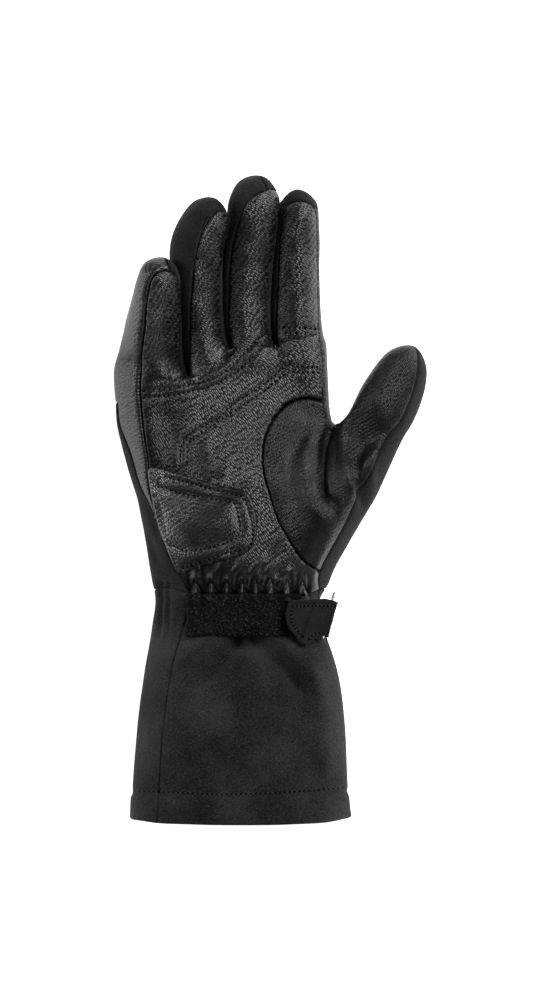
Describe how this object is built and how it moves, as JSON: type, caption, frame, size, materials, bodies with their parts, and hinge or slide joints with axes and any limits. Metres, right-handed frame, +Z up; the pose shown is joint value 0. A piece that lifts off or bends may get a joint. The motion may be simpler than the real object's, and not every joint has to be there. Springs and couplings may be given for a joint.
{
  "type": "motorcycle glove",
  "caption": "Right-hand winter motorcycle glove with a long flared cuff, leather palm, oval thumb gusset, raised heel pad, gathered wrist with a loop band and a strap end on a wire ring.",
  "frame": {"origin": "the middle of the glove's footprint, on the surface that its back rests on", "axes": "+X towards the thumb side, +Y from the cuff to the fingertips, +Z up out of the palm"},
  "size_m": [0.1563, 0.3239, 0.0604],
  "materials": {
    "leather": "black pebbled goat leather with a soft satin sheen",
    "softshell": "matte charcoal softshell cloth with a fine mottled weave",
    "side_knit": "matte black stretch knit with fine ribs",
    "loop_band": "napped black loop pile with grey specks",
    "strap_fabric": "matte black laminated strap cloth with stitched edges",
    "ring_steel": "bright plated steel wire"
  },
  "bodies": {
    "root": {"palm_leather": "leather", "thumb_gusset": "leather", "outer_side_panel": "leather", "wall_little_ring": "softshell", "wall_ring_middle": "softshell", "wall_middle_index": "softshell", "index_side_panel": "side_knit", "back_panel": "softshell", "thumb_back": "softshell", "cuff_front": "softshell", "cuff_back": "softshell", "heel_patch": "leather", "heel_pad": "leather", "wrist_loop_band": "loop_band", "wrist_tab": "strap_fabric", "wire_ring": "ring_steel", "ring_holder": "strap_fabric"}
  },
  "joints": []
}
